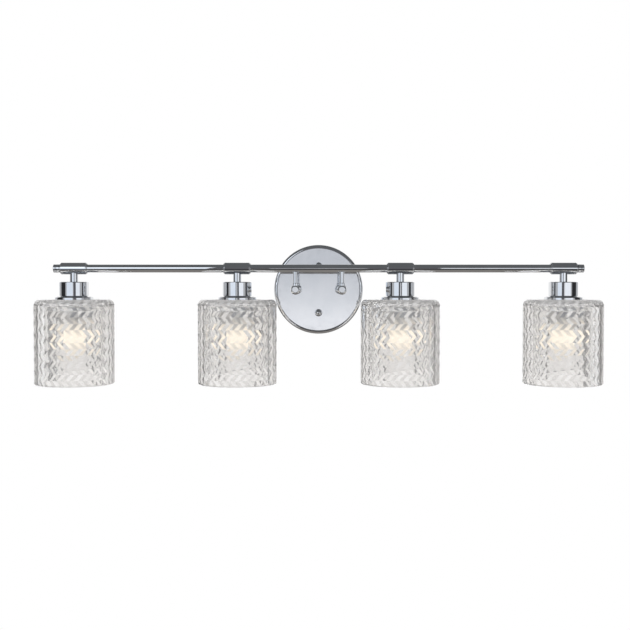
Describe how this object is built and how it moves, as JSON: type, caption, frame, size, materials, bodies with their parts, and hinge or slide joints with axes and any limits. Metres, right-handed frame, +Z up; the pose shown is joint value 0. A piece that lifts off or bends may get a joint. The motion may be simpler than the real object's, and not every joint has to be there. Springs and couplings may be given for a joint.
{
  "type": "vanity light bar",
  "caption": "Wall light for over a mirror: clear glass cylinder shades hung from a chrome bar that stands on two arms in front of a round canopy.",
  "frame": {"origin": "centre of the mounting bar's back face, on the wall, behind the canopy's centre", "axes": "+Y into the wall, +X along the light bar to the right as seen from the room, +Z up"},
  "size_m": [0.7664, 0.1532, 0.1908],
  "materials": {
    "chrome_plate": "bright mirror chrome plating, faint blue-grey tone",
    "clear_glass": "clear pressed glass with a chevron relief outside and a smooth inside",
    "lamp_glass": "white-coated lamp glass, lit warm white",
    "lamp_nickel": "nickel-plated lamp cap with a rolled thread",
    "shell_brass": "plain rolled brass contact shell",
    "porcelain": "glazed blue-grey porcelain",
    "zinc_plate": "zinc-plated steel",
    "wire_black": "smooth black wire insulation",
    "wire_white": "smooth white wire insulation",
    "wire_green": "smooth green earth-wire insulation"
  },
  "bodies": {
    "fixture": {"cup_1": "chrome_plate", "fitter_ring_1": "chrome_plate", "lampholder_1": "porcelain", "screw_shell_1": "shell_brass", "collar_1": "chrome_plate", "stem_1": "chrome_plate", "cup_2": "chrome_plate", "fitter_ring_2": "chrome_plate", "lampholder_2": "porcelain", "screw_shell_2": "shell_brass", "collar_2": "chrome_plate", "stem_2": "chrome_plate", "cup_3": "chrome_plate", "fitter_ring_3": "chrome_plate", "lampholder_3": "porcelain", "screw_shell_3": "shell_brass", "collar_3": "chrome_plate", "stem_3": "chrome_plate", "cup_4": "chrome_plate", "fitter_ring_4": "chrome_plate", "lampholder_4": "porcelain", "screw_shell_4": "shell_brass", "collar_4": "chrome_plate", "stem_4": "chrome_plate", "bar_tube": "chrome_plate", "canopy": "chrome_plate", "crossbar": "zinc_plate", "finial_left": "chrome_plate", "arm_left": "chrome_plate", "arm_nut_left": "zinc_plate", "elbow_left": "chrome_plate", "riser_left": "chrome_plate", "finial_right": "chrome_plate", "arm_right": "chrome_plate", "arm_nut_right": "zinc_plate", "elbow_right": "chrome_plate", "riser_right": "chrome_plate", "stud_upper": "zinc_plate", "stud_lower": "zinc_plate", "wire_live": "wire_black", "wire_neutral": "wire_white", "wire_earth": "wire_green"},
    "shade_1": {"shade_1": "clear_glass"},
    "ring_1": {"retaining_ring_1": "chrome_plate"},
    "bulb_1": {"bulb_globe_1": "lamp_glass", "bulb_cap_1": "lamp_nickel"},
    "shade_2": {"shade_2": "clear_glass"},
    "ring_2": {"retaining_ring_2": "chrome_plate"},
    "bulb_2": {"bulb_globe_2": "lamp_glass", "bulb_cap_2": "lamp_nickel"},
    "shade_3": {"shade_3": "clear_glass"},
    "ring_3": {"retaining_ring_3": "chrome_plate"},
    "bulb_3": {"bulb_globe_3": "lamp_glass", "bulb_cap_3": "lamp_nickel"},
    "shade_4": {"shade_4": "clear_glass"},
    "ring_4": {"retaining_ring_4": "chrome_plate"},
    "bulb_4": {"bulb_globe_4": "lamp_glass", "bulb_cap_4": "lamp_nickel"},
    "nut_upper": {"cap_nut_upper": "chrome_plate"},
    "nut_lower": {"cap_nut_lower": "chrome_plate"}
  },
  "joints": [
    {"name": "shade_1_lower", "type": "slide", "parent": "fixture", "child": "shade_1", "axis": [0, 0, -1], "range_m": [0, 0.012]},
    {"name": "ring_1_turn", "type": "hinge", "parent": "shade_1", "child": "ring_1", "pos_m": [-0.33, -0.1, -0.0222], "axis": [0, 0, -1], "range_deg": [0, 1080.5]},
    {"name": "bulb_1_draw", "type": "slide", "parent": "fixture", "child": "bulb_1", "axis": [0, 0, -1], "range_m": [0, 0.125]},
    {"name": "shade_2_lower", "type": "slide", "parent": "fixture", "child": "shade_2", "axis": [0, 0, -1], "range_m": [0, 0.012]},
    {"name": "ring_2_turn", "type": "hinge", "parent": "shade_2", "child": "ring_2", "pos_m": [-0.11, -0.1, -0.0222], "axis": [0, 0, -1], "range_deg": [0, 1080.5]},
    {"name": "bulb_2_draw", "type": "slide", "parent": "fixture", "child": "bulb_2", "axis": [0, 0, -1], "range_m": [0, 0.125]},
    {"name": "shade_3_lower", "type": "slide", "parent": "fixture", "child": "shade_3", "axis": [0, 0, -1], "range_m": [0, 0.012]},
    {"name": "ring_3_turn", "type": "hinge", "parent": "shade_3", "child": "ring_3", "pos_m": [0.11, -0.1, -0.0222], "axis": [0, 0, -1], "range_deg": [0, 1080.5]},
    {"name": "bulb_3_draw", "type": "slide", "parent": "fixture", "child": "bulb_3", "axis": [0, 0, -1], "range_m": [0, 0.125]},
    {"name": "shade_4_lower", "type": "slide", "parent": "fixture", "child": "shade_4", "axis": [0, 0, -1], "range_m": [0, 0.012]},
    {"name": "ring_4_turn", "type": "hinge", "parent": "shade_4", "child": "ring_4", "pos_m": [0.33, -0.1, -0.0222], "axis": [0, 0, -1], "range_deg": [0, 1080.5]},
    {"name": "bulb_4_draw", "type": "slide", "parent": "fixture", "child": "bulb_4", "axis": [0, 0, -1], "range_m": [0, 0.125]},
    {"name": "nut_upper_turn", "type": "hinge", "parent": "fixture", "child": "nut_upper", "pos_m": [0, -0.027, 0.0333], "axis": [0, -1, 0], "continuous": true},
    {"name": "nut_lower_turn", "type": "hinge", "parent": "fixture", "child": "nut_lower", "pos_m": [0, -0.027, -0.0333], "axis": [0, -1, 0], "continuous": true}
  ],
  "couplings": [
    {"joint": "ring_1_turn", "follows": "shade_1_lower", "rad_per_m": 1570.8},
    {"joint": "ring_2_turn", "follows": "shade_2_lower", "rad_per_m": 1570.8},
    {"joint": "ring_3_turn", "follows": "shade_3_lower", "rad_per_m": 1570.8},
    {"joint": "ring_4_turn", "follows": "shade_4_lower", "rad_per_m": 1570.8}
  ]
}
